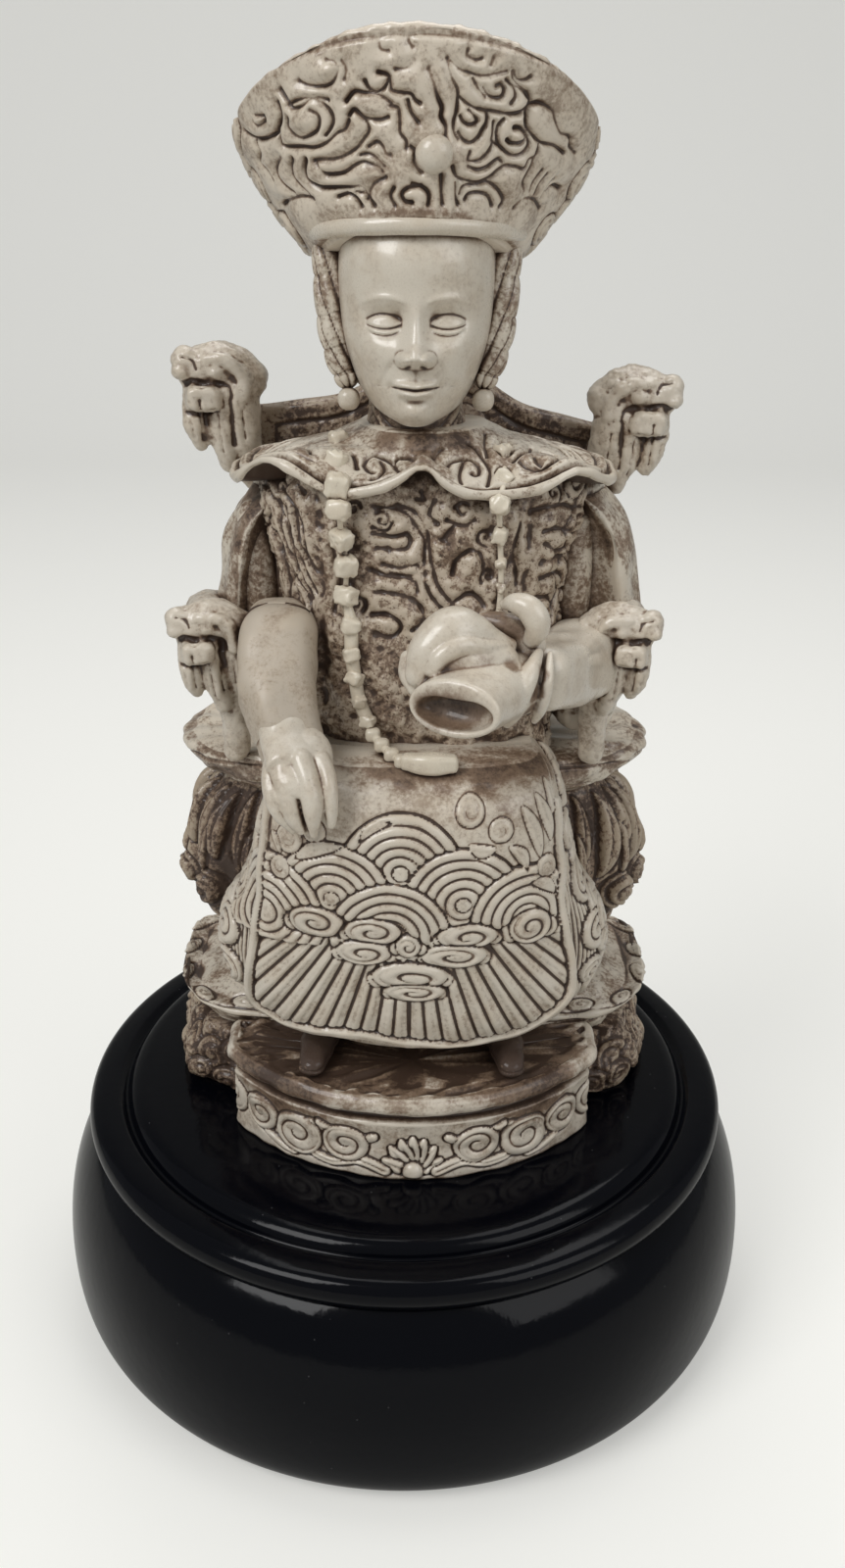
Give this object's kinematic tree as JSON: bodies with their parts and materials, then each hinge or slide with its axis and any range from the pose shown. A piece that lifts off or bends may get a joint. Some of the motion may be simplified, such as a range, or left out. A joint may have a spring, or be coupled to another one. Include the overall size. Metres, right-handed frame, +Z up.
{
  "type": "seated emperor figurine",
  "caption": "Robed emperor seated on a carved dragon throne with a footstool, cast in stained ivory resin, on a round black lacquered plinth.",
  "frame": {"origin": "middle of the foot of the round plinth, on the surface the ornament stands on", "axes": "+Z up, -Y towards the front that the figure faces, +X to the right of someone who looks at its front"},
  "size_m": [0.09, 0.09, 0.1506],
  "materials": {
    "ivory_resin": "polished cream resin with brown stain rubbed into the carving",
    "stained_resin": "cream resin under a heavy speckled brown stain",
    "black_lacquer": "gloss black lacquer on turned wood",
    "felt": "black felt"
  },
  "bodies": {
    "root": {"plinth": "black_lacquer", "felt_pad": "felt", "footstool": "ivory_resin", "throne_foot": "stained_resin", "throne_ledge": "ivory_resin", "throne_body": "stained_resin", "seat_slab": "ivory_resin", "throne_back": "stained_resin", "throne_arm_left": "ivory_resin", "throne_arm_right": "ivory_resin", "back_finial_left": "ivory_resin", "back_finial_right": "ivory_resin", "robe_skirt": "ivory_resin", "robe_torso": "stained_resin", "cloud_collar": "ivory_resin", "outer_sleeve_left": "stained_resin", "outer_sleeve_right": "stained_resin", "sleeve_forearm_left": "ivory_resin", "sleeve_forearm_right": "ivory_resin", "hand_left": "ivory_resin", "hoof_cuff": "ivory_resin", "thumb_right": "ivory_resin", "shoe_left": "stained_resin", "shoe_right": "stained_resin", "court_beads_left": "ivory_resin", "court_beads_right": "ivory_resin", "court_beads_pendant": "ivory_resin", "neck": "stained_resin", "head": "ivory_resin", "side_lock_left": "ivory_resin", "side_lock_right": "ivory_resin", "ear_stud_left": "ivory_resin", "ear_stud_right": "ivory_resin", "hat_band": "ivory_resin", "hat_crown": "ivory_resin", "hat_pearl": "ivory_resin"}
  },
  "joints": []
}
